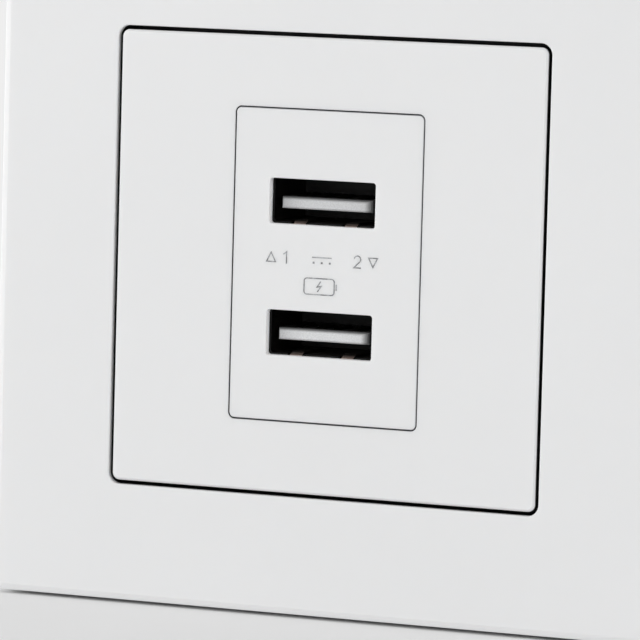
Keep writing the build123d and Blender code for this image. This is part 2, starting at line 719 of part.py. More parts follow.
def chip(w, h, t, x, rows, z):
    """Surface-mounted package on the back of the power board, with legs on both sides."""
    body = block(w, h, POWER_BACK, POWER_BACK + t, x, z)
    body = chamfer(body.faces().sort_by(Axis.Y)[-1].edges(), t / 8)
    for i in range(rows):
        leg_z = z + (i - (rows - 1) / 2) * h / rows
        body += block(w + 2 * CHIP_FOOT, CHIP_LEG_W, POWER_BACK, POWER_BACK + CHIP_LEG_T, x, leg_z)
    return body


def terminal_block():
    """Moulded block with a pocket, a wire entry and a screw well for each pole."""
    body = span(-BLOCK_W / 2, BLOCK_W / 2, BLOCK_BOTTOM, BLOCK_TOP, BLOCK_FRONT, REAR)
    body = fillet(body.faces().sort_by(Axis.Y)[-1].edges().filter_by(Axis.X), EDGE_BREAK)
    rail = span(BLOCK_W / 2 - ROOT, BLOCK_W / 2 + RAIL, BLOCK_BOTTOM, BLOCK_TOP - RAIL,
                WEB_FRONT - RAIL_L, WEB_FRONT)
    for copy in mirrored_x(rail):
        body += copy
    for x in TERM_X.values():
        body -= block(POCKET_W, POCKET_H, BLOCK_FRONT, WEB_FRONT, x, TERM_Z)
        body -= rod(SCREW_R + LOOSE, WEB_FRONT, WEB_BACK, x, TERM_Z)
        body -= rod(HEAD_R + RUN, WEB_BACK, REAR, x, TERM_Z)
        body -= span(x - BUSBAR_W / 2 - FIT, x + BUSBAR_W / 2 + FIT, TERM_Z, BLOCK_TOP,
                     BLOCK_FRONT, POWER_BOARD)
        entry = Cylinder(WIRE_HOLE_R, BLOCK_WALL, align=(Align.CENTER, Align.CENTER, Align.MIN))
        body -= Pos(x, BUSBAR_FRONT - WIRE_GAP / 2, BLOCK_BOTTOM) * entry
    return body


def bus_bar(x):
    """Brass strip from the power board down through the clamp cage."""
    return span(x - BUSBAR_W / 2, x + BUSBAR_W / 2, TERM_Z - CAGE_H / 2, POWER_BOTTOM + BUSBAR_PAD,
                BUSBAR_FRONT, POWER_BOARD)


def clamp_cage(x):
    """Folded cage whose rear wall is the screw's nut and whose front wall is the jaw."""
    depth = CAGE_BACK - CAGE_FRONT
    ring = Pos(x, (CAGE_FRONT + CAGE_BACK) / 2) * RectangleRounded(CAGE_W, depth, CAGE_R)
    ring -= Pos(x, (JAW + NUT_FRONT) / 2) * Rectangle(CAGE_W - 2 * CAGE_SIDE, NUT_FRONT - JAW)
    cage = Pos(0, 0, TERM_Z) * extrude(ring, CAGE_H / 2, both=True)
    return cage - rod(SCREW_R + SEAT, NUT_FRONT, CAGE_BACK, x, TERM_Z)


def terminal_screw(x):
    """Slotted cheese-head screw that turns in the block's web."""
    head = rod(HEAD_R, WEB_BACK + SEAT, WEB_BACK + HEAD_H, x, TERM_Z)
    head = chamfer(head.faces().sort_by(Axis.Y)[-1].edges(), EDGE_BREAK)
    head -= block(2 * HEAD_R, DRIVE_W, WEB_BACK + HEAD_H - DRIVE_DEPTH, WEB_BACK + HEAD_H, x, TERM_Z)
    shank = rod(SCREW_R, POWER_BOARD + LOOSE, WEB_BACK + SEAT + ROOT, x, TERM_Z)
    return head + shank


def all_parts():
    """Every piece by its name."""
    parts = {
        "cover_frame": cover_frame(),
        "centre_plate": centre_plate(),
        "support_yoke": support_yoke(),
        "case_front": case_front(),
        "case_rear": case_rear(),
        "port_board": port_board(),
        "power_board": power_board(),
        "header_spacer": header_spacer(),
        "header_pins": header_pins(),
        "transformer_core": transformer_core(),
        "transformer_bobbin": transformer_bobbin(),
        "transformer_winding": transformer_winding(),
        "input_capacitors": input_capacitors(),
        "output_capacitors": output_capacitors(),
        "safety_capacitor": safety_capacitor(),
        "fuse_resistor": fuse_resistor(),
        "filter_choke": filter_choke(),
        "bridge_rectifier": chip(**BRIDGE, z=POWER_BOTTOM + CHIP_RISE),
        "controller_chip": chip(**CONTROLLER, z=POWER_BOTTOM + CHIP_RISE),
        "optocoupler": chip(**OPTO, z=POWER_TOP - OPTO_DROP),
        "output_diode": chip(**DIODE, z=POWER_TOP - DIODE_DROP),
        "terminal_block": terminal_block(),
    }
    for name, z in PORT_Z.items():
        parts[f"{name}_port_shell"] = port_shell(z)
        parts[f"{name}_port_insulator"] = port_insulator(z)
        parts[f"{name}_port_contacts"] = port_contacts(z)
    for name, x in TERM_X.items():
        parts[f"{name}_bus_bar"] = bus_bar(x)
        parts[f"{name}_clamp_cage"] = clamp_cage(x)
        parts[f"{name}_terminal_screw"] = terminal_screw(x)
    return parts


def main():
    os.makedirs("parts", exist_ok=True)
    for name, solid in all_parts().items():
        export_step(solid, f"parts/{name}.step")
        print(f"{name}: {solid.volume:.1f} mm3")


main()
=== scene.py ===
# %% [markdown]
# A flush wall socket with two charging ports, dressed for a studio picture.
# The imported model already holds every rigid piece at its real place. What is left for this file is
# the finish of each piece, the fine things that a solid can do without (print, threads, solder,
# enamelled wire), and a small studio. The frame is in metres, so a size in millimetres is
# multiplied by MM.

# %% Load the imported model
import math

import bpy
import numpy as np
from mathutils import Matrix, Vector


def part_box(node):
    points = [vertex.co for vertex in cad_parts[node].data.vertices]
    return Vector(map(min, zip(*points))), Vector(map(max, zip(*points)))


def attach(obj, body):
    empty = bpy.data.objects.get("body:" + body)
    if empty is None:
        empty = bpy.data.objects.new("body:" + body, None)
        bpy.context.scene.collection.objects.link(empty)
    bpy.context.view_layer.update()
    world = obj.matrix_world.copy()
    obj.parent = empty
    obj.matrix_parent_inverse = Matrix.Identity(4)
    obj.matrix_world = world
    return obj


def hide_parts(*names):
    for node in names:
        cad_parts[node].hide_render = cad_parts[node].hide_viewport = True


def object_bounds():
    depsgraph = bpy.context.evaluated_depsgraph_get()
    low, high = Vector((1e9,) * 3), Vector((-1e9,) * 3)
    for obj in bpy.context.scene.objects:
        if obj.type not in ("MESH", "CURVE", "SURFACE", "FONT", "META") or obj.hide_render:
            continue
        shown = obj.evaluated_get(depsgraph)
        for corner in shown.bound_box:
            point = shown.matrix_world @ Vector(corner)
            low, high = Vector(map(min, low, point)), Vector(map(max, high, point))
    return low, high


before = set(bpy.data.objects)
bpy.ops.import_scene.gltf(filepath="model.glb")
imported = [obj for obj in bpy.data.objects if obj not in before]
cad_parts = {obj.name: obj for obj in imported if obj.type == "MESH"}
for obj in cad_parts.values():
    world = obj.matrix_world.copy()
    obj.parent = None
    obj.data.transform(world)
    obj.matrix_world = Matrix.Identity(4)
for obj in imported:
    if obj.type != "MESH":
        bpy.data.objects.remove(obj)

MM = 0.001
CAD_LO, CAD_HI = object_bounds()
FRONT = CAD_LO.y

# %% [markdown]
# The picture was taken with a long lens, a little from the right and a little from above, and the
# camera was held slightly askew. A camera could be aimed with a constraint, but the tilt is easier
# to see when its three axes are written out: the way back from the socket, the way to the right,
# and the way up, the last two turned by the roll.

# %% Camera
AZIMUTH = math.radians(22.5)
ELEVATION = math.radians(5.36)
ROLL = math.radians(1.57)
DISTANCE = 617.3 * MM
TARGET = Vector((-0.52, -9.0, -5.97)) * MM
FOCAL_PIXELS = 5444.6
IMAGE_PIXELS = 640
SENSOR_WIDTH = 36.0
CLIP_START = 10 * MM


def view_matrix():
    """Camera axes as columns: right and up turned by the roll, then the way back to the lens."""
    level = math.cos(ELEVATION)
    back = Vector((math.sin(AZIMUTH) * level, -math.cos(AZIMUTH) * level, math.sin(ELEVATION)))
    right = Vector((math.cos(AZIMUTH), math.sin(AZIMUTH), 0.0))
    up = back.cross(right)
    tilted_right = right * math.cos(ROLL) + up * math.sin(ROLL)
    tilted_up = up * math.cos(ROLL) - right * math.sin(ROLL)
    turn = Matrix((tilted_right, tilted_up, back)).transposed()
    return Matrix.Translation(TARGET + back * DISTANCE) @ turn.to_4x4()


camera = bpy.data.objects.new("camera", bpy.data.cameras.new("camera"))
bpy.context.scene.collection.objects.link(camera)
camera.data.sensor_width = SENSOR_WIDTH
camera.data.lens = FOCAL_PIXELS / IMAGE_PIXELS * SENSOR_WIDTH
camera.data.clip_start = CLIP_START
camera.matrix_world = view_matrix()
bpy.context.scene.camera = camera
print("lens", round(camera.data.lens, 1), "mm at", round(DISTANCE / MM), "mm")

# %% [markdown]
# Every finish below is a small net of shader nodes, and a few helpers keep the nets short. One adds
# a node and fills its inputs, one does a sum, one makes soft blotches of a size given in
# millimetres, and one turns a range of values into a smooth step. Patterns read Object coordinates,
# so each stays on its piece wherever the camera stands.

# %% Helpers for shader nodes
def new_finish(name, sockets):
    """A material with one principled shader, whose constant values go straight onto its sockets."""
    material = bpy.data.materials.new(name)
    material.use_nodes = True
    shader = material.node_tree.nodes["Principled BSDF"]
    for socket, value in sockets.items():
        shader.inputs[socket].default_value = value
    return material, material.node_tree, shader


def node(tree, kind, inputs, **settings):
    """Adds a node, sets its options, fills its inputs with links or values and gives its outputs."""
    made = tree.nodes.new("ShaderNode" + kind)
    for key, value in settings.items():
        setattr(made, key, value)
    for key, value in inputs.items():
        if isinstance(value, bpy.types.NodeSocket):
            tree.links.new(value, made.inputs[key])
        else:
            made.inputs[key].default_value = value
    return made.outputs


def sums(tree, operation, *values):
    """One sum on numbers or links."""
    return node(tree, "Math", dict(enumerate(values)), operation=operation)[0]


def axes(tree):
    """The place on the piece as three outputs, X, Y and Z."""
    return node(tree, "SeparateXYZ", {0: node(tree, "TexCoord", {})["Object"]})


def distance(tree, across, along):
    """Length of a flat vector: the root of the sum of both squares."""
    squares = [sums(tree, "POWER", part, 2.0) for part in (across, along)]
    return sums(tree, "SQRT", sums(tree, "ADD", *squares))


def blotches(tree, size, detail=3.0, stretch=(1.0, 1.0, 1.0)):
    """Soft noise from 0 to 1 with spots about size millimetres wide, longer where stretch is over 1."""
    spot = node(tree, "TexCoord", {})["Object"]
    scale = [1.0 / (size * MM * s) for s in stretch]
    mapped = node(tree, "Mapping", {"Vector": spot, "Scale": scale})[0]
    return node(tree, "TexNoise", {"Vector": mapped, "Scale": 1.0, "Detail": detail})[0]


def step(tree, field, start, end, low=0.0, high=1.0):
    """A smooth step from low to high as the field goes from start to end."""
    inputs = {"Value": field, "From Min": start, "From Max": end, "To Min": low, "To Max": high}
    return node(tree, "MapRange", inputs, interpolation_type="SMOOTHSTEP")[0]


def patches(tree, size, low, high):
    """A value that drifts between low and high in patches about size millimetres wide."""
    return step(tree, blotches(tree, size), 0.3, 0.7, low, high)


def tint(tree, share, first, second):
    """A colour between two colours, by a share from 0 to 1."""
    return node(tree, "Mix", {0: share, 6: first, 7: second}, data_type="RGBA")[2]


print("node helpers ready")

# %% [markdown]
# Four more helpers join such a net to a shader, raise a fine relief, mix a grey and put the finished
# material on the solids. A CAD piece keeps its mesh as it is: only its material slot changes.

# %% Helpers for finishes
def paint(tree, shader, **fields):
    """Joins outputs to the shader's sockets, named in lower case with underscores."""
    for name, output in fields.items():
        tree.links.new(output, shader.inputs[name.replace("_", " ").title()])


def relief(tree, shader, field, depth):
    """Raises the surface by the field times depth in millimetres, as bump."""
    inputs = {"Height": field, "Distance": depth * MM, "Strength": 1.0}
    tree.links.new(node(tree, "Bump", inputs)[0], shader.inputs["Normal"])


def grey(level, warm=0.0):
    """A grey, made slightly warm or, below zero, slightly cool."""
    return (level * (1 + warm), level, level * (1 - warm), 1.0)


def dress(finish, *nodes):
    """Gives a finish to CAD pieces through their material slots."""
    for name in nodes:
        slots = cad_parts[name].data.materials
        slots.clear()
        slots.append(finish)


print("finish helpers ready")

# %% [markdown]
# The cover frame, the centre plate and the charger's face are satin white mouldings. A moulding is
# never one flat colour: its tone drifts a little over centimetres, its gloss over millimetres, and
# its skin has a spark-eroded grain of about a tenth of a millimetre. Light also travels a short way
# under the skin, which softens the edges, and subsurface scattering of a millimetre gives that.

# %% White mouldings
WHITE_PLASTIC = {
    "Specular IOR Level": 0.4,
    "Subsurface Weight": 0.6,
    "Subsurface Scale": 1.0 * MM,
    "Subsurface Radius": (1.0, 0.95, 0.9),
}


def white_moulding(name, *walls):
    """Satin white plastic, whose walls picked by each mask take the colour given with the mask."""
    material, tree, shader = new_finish(name, WHITE_PLASTIC)
    colour = tint(tree, blotches(tree, 22.0), grey(0.765, -0.004), grey(0.785, -0.004))
    gloss = patches(tree, 3.0, 0.42, 0.5)
    relief(tree, shader, blotches(tree, 0.12, detail=1.0), 0.0012)
    for mask, wall_colour in walls:
        colour = tint(tree, mask(tree), colour, wall_colour)
    paint(tree, shader, base_color=colour, roughness=gloss)
    return material


print("white plastic scatters over", WHITE_PLASTIC["Subsurface Scale"] / MM, "mm")

# %% [markdown]
# The slits between frame, plate and face are half a millimetre wide or less, so almost no light
# comes back out of them. A dark strip could be laid into each, but the real slit is empty, so its
# walls are painted darker with depth instead, as painted shade, by a mask that asks only where on
# the piece a point lies.

# %% Painted shade in the slits
PLATE_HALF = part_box("centre_plate")[1].x
PLATE_GAP = 0.48 * MM
NOSE_HALF = (11.5 * MM, 17.8 * MM)
NOSE_GAP = 0.12 * MM
EDGE_BREAK = 0.25 * MM
PLATE_BACK = FRONT + 2.0 * MM
PLATE_SLIT_END = FRONT + 4.1 * MM
# Painted shade: near black on the walls of the slits round the plate, bluish dark grey on the narrow
# slits round the charger's face.
PAINTED_SLIT_SHADE = grey(0.006)
PAINTED_FINE_SLIT_SHADE = (0.05, 0.052, 0.064, 1.0)
WINDOW_SHADE = (0.72 * MM, 0.86 * MM)
PLATE_SHADE = (0.2 * MM, 0.5 * MM)
APERTURE_SHADE = (0.06 * MM, 0.28 * MM)
NOSE_SHADE = (0.0, 0.12 * MM)


def beyond(tree, half_x, half_z, middle_x=0.0, middle_z=0.0):
    """How far a point lies outside an upright rectangle about a middle; below zero inside it."""
    x, _, z = axes(tree)
    from_x = sums(tree, "ABSOLUTE", sums(tree, "SUBTRACT", x, middle_x))
    from_z = sums(tree, "ABSOLUTE", sums(tree, "SUBTRACT", z, middle_z))
    over_x = sums(tree, "SUBTRACT", from_x, half_x)
    over_z = sums(tree, "SUBTRACT", from_z, half_z)
    return sums(tree, "MAXIMUM", over_x, over_z)


def slit_mask(tree, over, depths, back):
    """Share of painted shade on slit walls, where the field is above zero: it grows between two
    depths and stops at the slit's end."""
    y = axes(tree)[1]
    below_edge = step(tree, y, FRONT + depths[0], FRONT + depths[1])
    before_end = sums(tree, "LESS_THAN", y, back)
    wall = sums(tree, "GREATER_THAN", over, 0.0)
    return sums(tree, "MULTIPLY", sums(tree, "MULTIPLY", below_edge, before_end), wall)


def frame_slit(tree):
    """Walls of the frame's window: inside a square a little larger than the window."""
    reach = PLATE_HALF + 1.3 * PLATE_GAP
    inside = sums(tree, "MULTIPLY", beyond(tree, reach, reach), -1.0)
    return slit_mask(tree, inside, WINDOW_SHADE, PLATE_SLIT_END)


def plate_slit(tree):
    """Outer walls of the plate."""
    reach = PLATE_HALF - EDGE_BREAK
    return slit_mask(tree, beyond(tree, reach, reach), PLATE_SHADE, PLATE_SLIT_END)


def aperture_slit(tree):
    """Walls of the plate's aperture: inside a rectangle a little larger than the aperture."""
    reach = 1.5 * NOSE_GAP
    over = beyond(tree, NOSE_HALF[0] + reach, NOSE_HALF[1] + reach)
    return slit_mask(tree, sums(tree, "MULTIPLY", over, -1.0), APERTURE_SHADE, PLATE_BACK)


def nose_slit(tree):
    """Outer walls of the charger's face."""
    over = beyond(tree, NOSE_HALF[0] - EDGE_BREAK, NOSE_HALF[1] - EDGE_BREAK)
    return slit_mask(tree, over, NOSE_SHADE, PLATE_BACK)


dress(white_moulding("white cover frame", (frame_slit, PAINTED_SLIT_SHADE)), "cover_frame")
plate_walls = ((plate_slit, PAINTED_SLIT_SHADE), (aperture_slit, PAINTED_FINE_SLIT_SHADE))
dress(white_moulding("white centre plate", *plate_walls), "centre_plate")
print("plate", round(2 * PLATE_HALF / MM, 2), "mm wide, slit", PLATE_GAP / MM, "mm")

# %% [markdown]
# The charger's face has painted shade in its slit too, and two port openings. Their walls are
# painted lighter than the grained face: painted light, standing for the light that reaches them.
# A second rectangle mask, once for each opening, finds them just behind the face.

# %% Charger's face
PORT_X = -0.65 * MM
PORT_Z = (7.3 * MM, -7.7 * MM)
PORT_HALF = (6.5 * MM, 2.6 * MM)
# Painted light: the lighter white of the openings' walls.
PAINTED_WALL_LIGHT = grey(0.96, -0.004)
WALL_SKIN = 0.05 * MM
FACE_SKIN = 0.02 * MM


def port_walls(tree):
    """Walls of both port openings, just behind the face."""
    upper, lower = [beyond(tree, *PORT_HALF, PORT_X, middle_z) for middle_z in PORT_Z]
    within = sums(tree, "LESS_THAN", sums(tree, "MINIMUM", upper, lower), WALL_SKIN)
    behind = sums(tree, "GREATER_THAN", axes(tree)[1], FRONT + FACE_SKIN)
    return sums(tree, "MULTIPLY", within, behind)


face_walls = ((nose_slit, PAINTED_FINE_SLIT_SHADE), (port_walls, PAINTED_WALL_LIGHT))
dress(white_moulding("white charger face", *face_walls), "case_front")
print("openings", 2 * PORT_HALF[0] / MM, "by", 2 * PORT_HALF[1] / MM, "mm")

# %% [markdown]
# The rear half of the charger's case is a plainer moulding: warmer, greyer and more coarsely eroded
# than the face. The terminal block is glass-filled plastic, nearly black, with pale fibres that
# just show.

# %% Rear mouldings
def rear_plastic():
    """Pale grey plastic with an eroded grain of a quarter of a millimetre."""
    material, tree, shader = new_finish("rear case plastic", {"Specular IOR Level": 0.35})
    colour = tint(tree, blotches(tree, 14.0), grey(0.66, 0.015), grey(0.71, 0.015))
    gloss = patches(tree, 2.0, 0.5, 0.62)
    relief(tree, shader, blotches(tree, 0.25, detail=2.0), 0.006)
    paint(tree, shader, base_color=colour, roughness=gloss)
    return material


def glass_filled_plastic(name, level):
    """Dark plastic with short pale fibres, as stretched specks, and a rough skin."""
    material, tree, shader = new_finish(name, {"Specular IOR Level": 0.4})
    fibres = step(tree, blotches(tree, 0.12, 1.0, (6.0, 1.0, 1.0)), 0.62, 0.78)
    colour = tint(tree, fibres, grey(level), grey(level * 2.2))
    gloss = patches(tree, 1.5, 0.45, 0.6)
    relief(tree, shader, blotches(tree, 0.2, 2.0), 0.006)
    paint(tree, shader, base_color=colour, roughness=gloss)
    return material


REAR_PLASTIC = rear_plastic()
dress(REAR_PLASTIC, "case_rear")
dress(glass_filled_plastic("terminal block plastic", 0.055), "terminal_block")
dress(glass_filled_plastic("black part plastic", 0.022), "header_spacer", "transformer_bobbin")
print("rear mouldings dressed")

# %% [markdown]
# Yoke, clamp cages and screws are mild steel with a bright zinc coat. The rolled strip leaves fine
# lines along its length, and the coat has a faint crystal pattern and a slight blue or straw tone.
# Lines are a noise stretched forty times along X, crystals are the cells of a Voronoi pattern.

# %% Zinc-plated steel
CRYSTAL = 2.4 * MM


def zinc_steel():
    """Metal whose tone changes by crystal cell and whose gloss changes along rolling lines."""
    material, tree, shader = new_finish("zinc plated steel", {"Metallic": 1.0})
    spot = node(tree, "TexCoord", {})["Object"]
    cells = node(tree, "TexVoronoi", {"Vector": spot, "Scale": 1.0 / CRYSTAL})["Color"]
    share = node(tree, "SeparateColor", {0: cells})[0]
    straw = tint(tree, blotches(tree, 18.0), (0.60, 0.62, 0.66, 1.0), (0.66, 0.64, 0.58, 1.0))
    colour = tint(tree, sums(tree, "MULTIPLY", share, 0.35), straw, grey(0.74))
    lines = blotches(tree, 0.25, 2.0, (40.0, 1.0, 1.0))
    gloss = step(tree, lines, 0.25, 0.75, 0.28, 0.46)
    relief(tree, shader, lines, 0.004)
    paint(tree, shader, base_color=colour, roughness=gloss)
    return material


ZINC = zinc_steel()
dress(ZINC, "support_yoke", "line_clamp_cage", "neutral_clamp_cage")
print("zinc on the yoke and both cages")

# %% [markdown]
# Each port is a folded steel tube round a pale tongue. The tube is near black, and just behind its
# mouth it is painted blacker still, as painted shade. Only the spring tabs, rubbed by the folding
# tool, show some bronze. They are picked out by where they lie: two narrow strips at the mouth.

# %% Port shells
# Painted shade: the near black that tubes, tongues and contacts take in the shade inside a port.
PAINTED_PORT_SHADE = grey(0.02)
SPRING_PITCH = 6.3 * MM
SPRING_HALF = 0.74 * MM
SPRING_TONE = (FRONT + 1.2 * MM, FRONT + 1.9 * MM)
PAINTED_MOUTH_SHADE = (FRONT + 1.0 * MM, FRONT + 2.5 * MM)
RUBBED = (0.46, 0.36, 0.32, 1.0)


def port_steel():
    """Near black metal with painted shade by the mouth, bronze springs and drawn lines along it."""
    material, tree, shader = new_finish("port steel", {"Metallic": 1.0})
    x, y, _ = axes(tree)
    from_middle = sums(tree, "ABSOLUTE", sums(tree, "SUBTRACT", x, PORT_X))
    from_spring = sums(tree, "ABSOLUTE", sums(tree, "SUBTRACT", from_middle, SPRING_PITCH / 2))
    spring = sums(tree, "LESS_THAN", from_spring, SPRING_HALF)
    near = step(tree, y, *SPRING_TONE, 1.0, 0.0)
    lines = blotches(tree, 0.2, 2.0, (1.0, 30.0, 1.0))
    plating = tint(tree, lines, grey(0.04, 0.1), grey(0.06, 0.1))
    # Painted shade: the tube turns near black towards its mouth.
    mouth_shaded = tint(tree, step(tree, y, *PAINTED_MOUTH_SHADE), PAINTED_PORT_SHADE, plating)
    colour = tint(tree, sums(tree, "MULTIPLY", spring, near), mouth_shaded, RUBBED)
    gloss = step(tree, lines, 0.2, 0.8, 0.35, 0.5)
    relief(tree, shader, lines, 0.002)
    paint(tree, shader, base_color=colour, roughness=gloss)
    return material


dress(port_steel(), "upper_port_shell", "lower_port_shell")
print("two shells dressed, springs", SPRING_PITCH / MM, "mm apart")

# %% [markdown]
# The end of the tongue is pale grey. Along its upper edge and towards its right end it is painted
# darker, as painted shadow of the opening's lip, and further in it is painted dark, as painted
# shade deep in the port. Each is a step along one axis, and the strongest of the three counts.

# %% Tongues
TONGUE_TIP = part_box("upper_port_insulator")[0].y
TONGUE_END = PORT_X + 5.55 * MM
TONGUE_TOP = 0.3 * MM
PAINTED_EDGE_SHADOW = 0.45 * MM
PAINTED_END_SHADOW = (TONGUE_END - 1.1 * MM, TONGUE_END - 0.2 * MM)
PAINTED_DEEP_SHADE = (TONGUE_TIP + 0.05 * MM, TONGUE_TIP + 1.0 * MM)
# Painted light: the lower tongue is painted lighter than the upper, for the less light it gets.
TONGUE_LEVEL = {"upper": 0.56, "lower": 0.64}


def tongue_plastic(port, level):
    """Grey plastic with a fine speckle, and painted shade at its upper edge, right end and further in.
    """
    material, tree, shader = new_finish(f"{port} tongue plastic", {"Specular IOR Level": 0.4})
    shell_lo, shell_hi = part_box(f"{port}_port_shell")
    top = (shell_lo.z + shell_hi.z) / 2 + TONGUE_TOP
    x, y, z = axes(tree)
    speckle = step(tree, blotches(tree, 0.16, 2.0), 0.3, 0.7)
    pale = tint(tree, speckle, grey(level * 0.96, -0.01), grey(level * 1.12, -0.01))
    # Painted shadow at the upper edge and right end, painted shade further in.
    at_edge = step(tree, z, top - PAINTED_EDGE_SHADOW, top, 0.0, 0.85)
    at_end = step(tree, x, *PAINTED_END_SHADOW, 0.0, 0.8)
    inside = step(tree, y, *PAINTED_DEEP_SHADE)
    painted_shade = sums(tree, "MAXIMUM", sums(tree, "MAXIMUM", at_edge, at_end), inside)
    relief(tree, shader, blotches(tree, 0.1, 2.0), 0.003)
    gloss = patches(tree, 0.8, 0.45, 0.58)
    paint(tree, shader, base_color=tint(tree, painted_shade, pale, PAINTED_PORT_SHADE), roughness=gloss)
    return material


for port, level in TONGUE_LEVEL.items():
    dress(tongue_plastic(port, level), f"{port}_port_insulator")
print("tongues", round((TONGUE_TIP - FRONT) / MM, 2), "mm behind the face")

# %% [markdown]
# Contacts, header pins and bus bars are thinly gilded brass. As far as a plug reaches, the leaf
# contacts are painted near black as painted shade, so their finish takes a mask; the others don't.

# %% Plated brass
CONTACT_BLOCK = 6.5 * MM
# Painted shade: the share of near black on the contacts in the open part of the port.
PAINTED_CONTACT_SHADE = 0.97


def plated_brass(name, painted_shade=None):
    """Gilded brass, duller where it was handled, and painted dark where a mask gives painted shade."""
    material, tree, shader = new_finish(name, {"Metallic": 1.0})
    colour = tint(tree, blotches(tree, 2.0), (0.74, 0.55, 0.24, 1.0), (0.83, 0.66, 0.36, 1.0))
    if painted_shade:
        colour = tint(tree, painted_shade(tree), colour, PAINTED_PORT_SHADE)
    lines = blotches(tree, 0.15, 2.0, (1.0, 20.0, 20.0))
    gloss = step(tree, lines, 0.25, 0.75, 0.25, 0.42)
    relief(tree, shader, lines, 0.002)
    paint(tree, shader, base_color=colour, roughness=gloss)
    return material


def contact_shade_reach(tree):
    """Painted shade in the open part of the port, before the block that carries the contacts."""
    open_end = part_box("upper_port_shell")[1].y - CONTACT_BLOCK
    return sums(tree, "MULTIPLY", sums(tree, "LESS_THAN", axes(tree)[1], open_end), PAINTED_CONTACT_SHADE)


dress(plated_brass("port contacts", contact_shade_reach), "upper_port_contacts", "lower_port_contacts")
dress(plated_brass("plated brass"), "header_pins", "line_bus_bar", "neutral_bus_bar")
print("contacts, pins and bus bars dressed")

# %% [markdown]
# Behind the ports two boards carry the converter. A board is glass cloth under green lacquer:
# copper tracks lift the lacquer and look lighter, and the weave shows faintly. Tracks are the
# borders of square Voronoi cells, which turn corners at right angles as a routed board does.

# %% Circuit boards
TRACK_CELL = 2.6 * MM
WEAVE = 0.35 * MM
DARK_GREEN = (0.012, 0.10, 0.04, 1.0)
WEAVE_GREEN = (0.03, 0.15, 0.07, 1.0)
TRACK_GREEN = (0.05, 0.24, 0.10, 1.0)


def board_lacquer():
    """Green lacquer over tracks and weave."""
    material, tree, shader = new_finish("board lacquer", {"Specular IOR Level": 0.5})
    spot = node(tree, "TexCoord", {})["Object"]
    place = {"Vector": spot, "Scale": 1.0 / TRACK_CELL}
    track = step(tree, node(tree, "TexVoronoi", place, distance="CHEBYCHEV")["Distance"], 0.34, 0.38)
    weave = node(tree, "TexChecker", {"Vector": spot, "Scale": 1.0 / WEAVE})[1]
    green = tint(tree, sums(tree, "MULTIPLY", weave, 0.25), DARK_GREEN, WEAVE_GREEN)
    gloss = patches(tree, 1.2, 0.28, 0.4)
    relief(tree, shader, track, 0.03)
    paint(tree, shader, base_color=tint(tree, track, green, TRACK_GREEN), roughness=gloss)
    return material


dress(board_lacquer(), "port_board", "power_board")
print("two boards dressed")

# %% [markdown]
# Parts on the boards have two materials each, such as a black package with tinned legs. One shader
# can hold both: a mask from the place on the part drives colour, metal and roughness together.
# Where the mask is 1 the surface is the second material.

# %% Two-material parts
TIN = grey(0.66)
CHIP_FOOT = 0.89 * MM


def two_materials(name, mask, first, second, metal=1.0, rough=(0.5, 0.35), grain=0.2):
    """A first colour where the mask is 0, and a second one, metallic by metal, where it is 1."""
    material, tree, shader = new_finish(name, {"Specular IOR Level": 0.45})
    share = mask(tree)
    mottled = tint(tree, blotches(tree, 1.2), first, [c * 1.25 for c in first[:3]] + [1.0])
    relief(tree, shader, blotches(tree, grain, 2.0), 0.004)
    paint(
        tree,
        shader,
        base_color=tint(tree, share, mottled, second),
        metallic=sums(tree, "MULTIPLY", share, metal),
        roughness=step(tree, share, 0.0, 1.0, *rough),
    )
    return material


def outside_x(middle, half):
    """A mask that is 1 further than half from a middle along X."""
    def mask(tree):
        offset = sums(tree, "SUBTRACT", axes(tree)[0], middle)
        return sums(tree, "GREATER_THAN", sums(tree, "ABSOLUTE", offset), half)
    return mask


def middle_of(name):
    """Middle and half size of a CAD piece's box."""
    lo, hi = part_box(name)
    return (lo + hi) / 2, (hi - lo) / 2


for chip in ("bridge_rectifier", "controller_chip", "optocoupler", "output_diode"):
    middle, half = middle_of(chip)
    legs = outside_x(middle.x, half.x - CHIP_FOOT)
    dress(two_materials(f"package {chip}", legs, grey(0.02), TIN), chip)
print("four packages with tinned legs")

# %% [markdown]
# Cans of electrolytic capacitors wear a shrunk sleeve with a pale stripe on the negative side, and
# their ends are bare aluminium. The safety capacitor is a disc dipped in blue resin, on tinned
# leads. Both are the two-material finish with a mask of their own.

# %% Capacitors
CAN_RADIUS = 3.15 * MM
STRIPE_FROM = 2.5 * MM
END_SKIN = 0.05 * MM
SLEEVE_ROUGH = (0.32, 0.4)


def sleeve_stripe(name):
    """A mask for the upper side of the cans, where the sleeve has its stripe, and for bare ends."""
    lo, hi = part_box(name)
    stripe_z = hi.z - (CAN_RADIUS - STRIPE_FROM)

    def mask(tree):
        _, y, z = axes(tree)
        striped = sums(tree, "GREATER_THAN", z, stripe_z)
        return sums(tree, "MAXIMUM", striped, sums(tree, "LESS_THAN", y, lo.y + END_SKIN))
    return mask


def disc_leads(tree):
    """1 on the leads under the dipped disc: past the middle and outside the disc's radius."""
    lo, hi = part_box("safety_capacitor")
    disc = (hi.x - lo.x) / 2
    x, y, _ = axes(tree)
    across = sums(tree, "SUBTRACT", x, (lo.x + hi.x) / 2)
    along = sums(tree, "SUBTRACT", y, lo.y + disc)
    outside = sums(tree, "GREATER_THAN", distance(tree, across, along), disc + END_SKIN)
    return sums(tree, "MULTIPLY", sums(tree, "GREATER_THAN", along, 0.0), outside)


